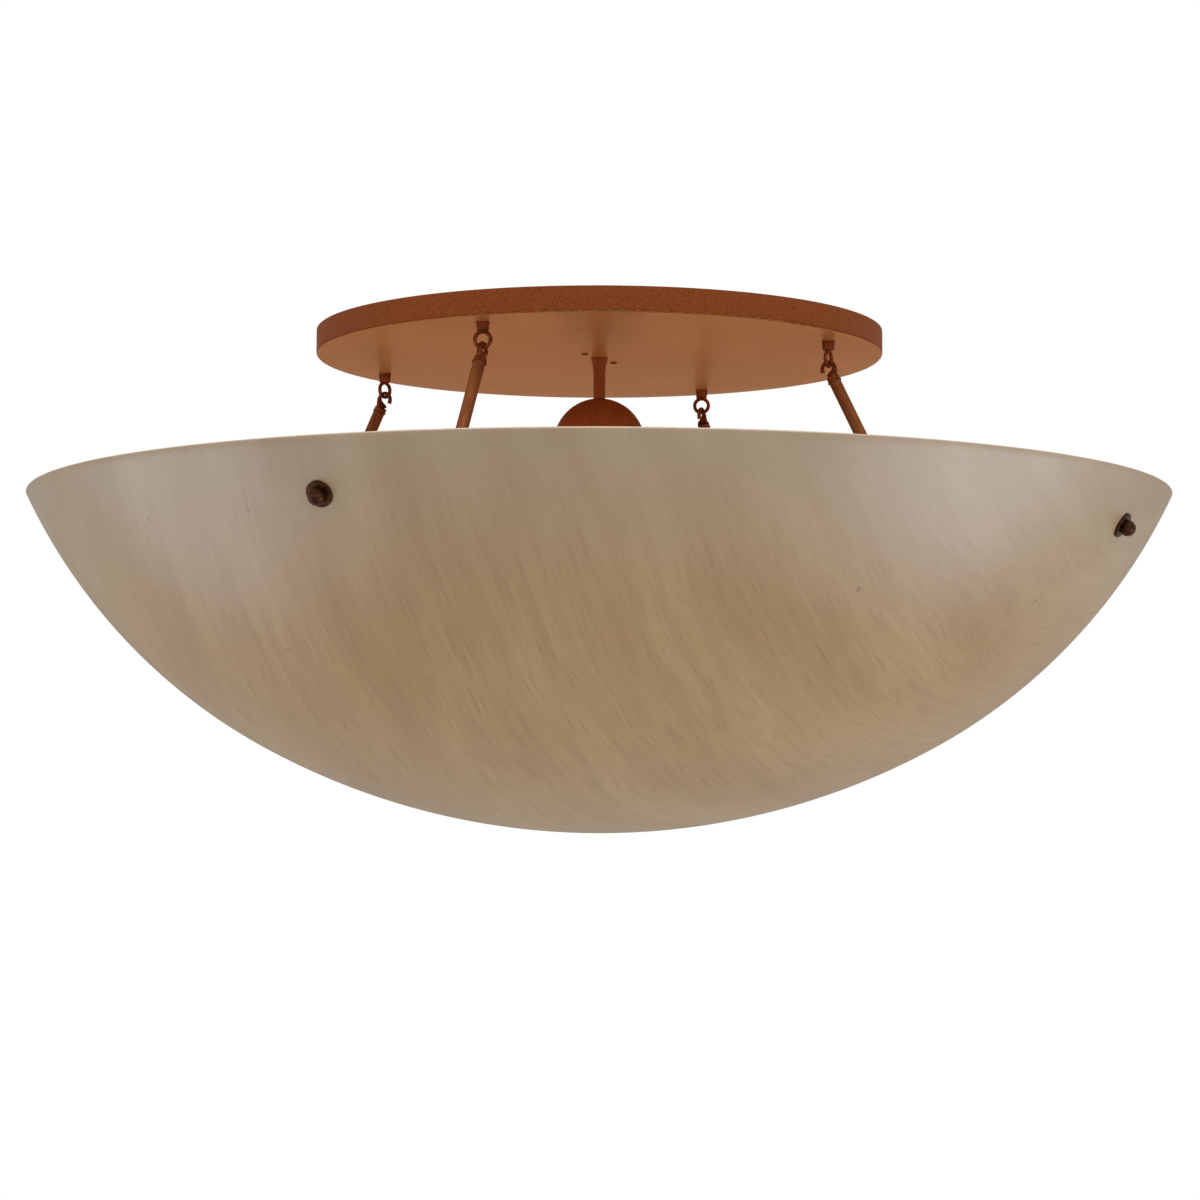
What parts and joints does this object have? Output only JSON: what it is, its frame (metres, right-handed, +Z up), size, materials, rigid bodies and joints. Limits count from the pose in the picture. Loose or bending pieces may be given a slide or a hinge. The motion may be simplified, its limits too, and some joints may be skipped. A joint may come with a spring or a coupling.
{
  "type": "semi flush ceiling light",
  "caption": "Semi flush ceiling light: a wide shallow alabaster-look bowl hung by hooked arms from a round pan, with lamps on a domed cluster inside.",
  "frame": {"origin": "centre of the ceiling strap's top face, in the ceiling plane", "axes": "+Z up, square to the ceiling; +X along arm 1; +Y along the strap"},
  "size_m": [1.2181, 1.2182, 0.538],
  "materials": {
    "pan_paint": "satin rust copper paint",
    "metal_paint": "textured rust copper paint",
    "zinc_steel": "zinc plated steel",
    "brass_nut": "turned brass",
    "ground_green": "green earthing screw",
    "dark_bronze": "dark antique copper",
    "bowl_alabaster": "satin alabaster-look acrylic",
    "gasket_rubber": "black rubber",
    "socket_porcelain": "glazed white",
    "lamp_metal": "bright cap",
    "lamp_opal": "opal white"
  },
  "bodies": {
    "canopy": {"canopy_pan": "pan_paint", "pan_brace": "zinc_steel", "ceiling_strap": "zinc_steel", "canopy_screws": "metal_paint", "ground_screw": "ground_green", "hanging_pipe": "zinc_steel", "pipe_nuts": "zinc_steel", "stem_tube": "metal_paint", "stem_collar": "metal_paint", "cluster_dome": "metal_paint", "cluster_cup": "metal_paint", "cluster_nuts": "brass_nut", "wiring_nipples": "zinc_steel", "canopy_loops": "metal_paint", "loop_nuts": "zinc_steel", "lamp_socket_1": "socket_porcelain", "lamp_socket_2": "socket_porcelain", "lamp_socket_3": "socket_porcelain", "lamp_socket_4": "socket_porcelain"},
    "bowl_assembly": {"bowl": "bowl_alabaster", "arm_hooks": "metal_paint", "arm_tube_1": "metal_paint", "arm_tube_2": "metal_paint", "arm_tube_3": "metal_paint", "arm_tube_4": "metal_paint", "arm_foot_1": "metal_paint", "arm_foot_2": "metal_paint", "arm_foot_3": "metal_paint", "arm_foot_4": "metal_paint", "wall_gaskets": "gasket_rubber", "knob_studs": "zinc_steel", "bowl_washers": "dark_bronze"},
    "knob_1": {"knob_1": "dark_bronze"},
    "knob_2": {"knob_2": "dark_bronze"},
    "knob_3": {"knob_3": "dark_bronze"},
    "knob_4": {"knob_4": "dark_bronze"},
    "lamp_1": {"lamp_cap_1": "lamp_metal", "lamp_globe_1": "lamp_opal"},
    "lamp_2": {"lamp_cap_2": "lamp_metal", "lamp_globe_2": "lamp_opal"},
    "lamp_3": {"lamp_cap_3": "lamp_metal", "lamp_globe_3": "lamp_opal"},
    "lamp_4": {"lamp_cap_4": "lamp_metal", "lamp_globe_4": "lamp_opal"}
  },
  "joints": [
    {"name": "bowl_lift", "type": "slide", "parent": "canopy", "child": "bowl_assembly", "axis": [0, 0, 1], "range_m": [0, 0.0049]},
    {"name": "knob_turn_1", "type": "hinge", "parent": "bowl_assembly", "child": "knob_1", "pos_m": [0.58202, 0, -0.2325], "axis": [0.8571, 0, -0.5152], "continuous": true},
    {"name": "knob_turn_2", "type": "hinge", "parent": "bowl_assembly", "child": "knob_2", "pos_m": [0, 0.58202, -0.2325], "axis": [0, 0.8571, -0.5152], "continuous": true},
    {"name": "knob_turn_3", "type": "hinge", "parent": "bowl_assembly", "child": "knob_3", "pos_m": [-0.58202, 0, -0.2325], "axis": [-0.8571, 0, -0.5152], "continuous": true},
    {"name": "knob_turn_4", "type": "hinge", "parent": "bowl_assembly", "child": "knob_4", "pos_m": [0, -0.58202, -0.2325], "axis": [0, -0.8571, -0.5152], "continuous": true},
    {"name": "lamp_turn_1", "type": "hinge", "parent": "canopy", "child": "lamp_1", "pos_m": [0.03519, 0.03519, -0.14368], "axis": [0.6124, 0.6124, -0.5], "continuous": true},
    {"name": "lamp_turn_2", "type": "hinge", "parent": "canopy", "child": "lamp_2", "pos_m": [-0.03519, 0.03519, -0.14368], "axis": [-0.6124, 0.6124, -0.5], "continuous": true},
    {"name": "lamp_turn_3", "type": "hinge", "parent": "canopy", "child": "lamp_3", "pos_m": [-0.03519, -0.03519, -0.14368], "axis": [-0.6124, -0.6124, -0.5], "continuous": true},
    {"name": "lamp_turn_4", "type": "hinge", "parent": "canopy", "child": "lamp_4", "pos_m": [0.03519, -0.03519, -0.14368], "axis": [0.6124, -0.6124, -0.5], "continuous": true}
  ]
}
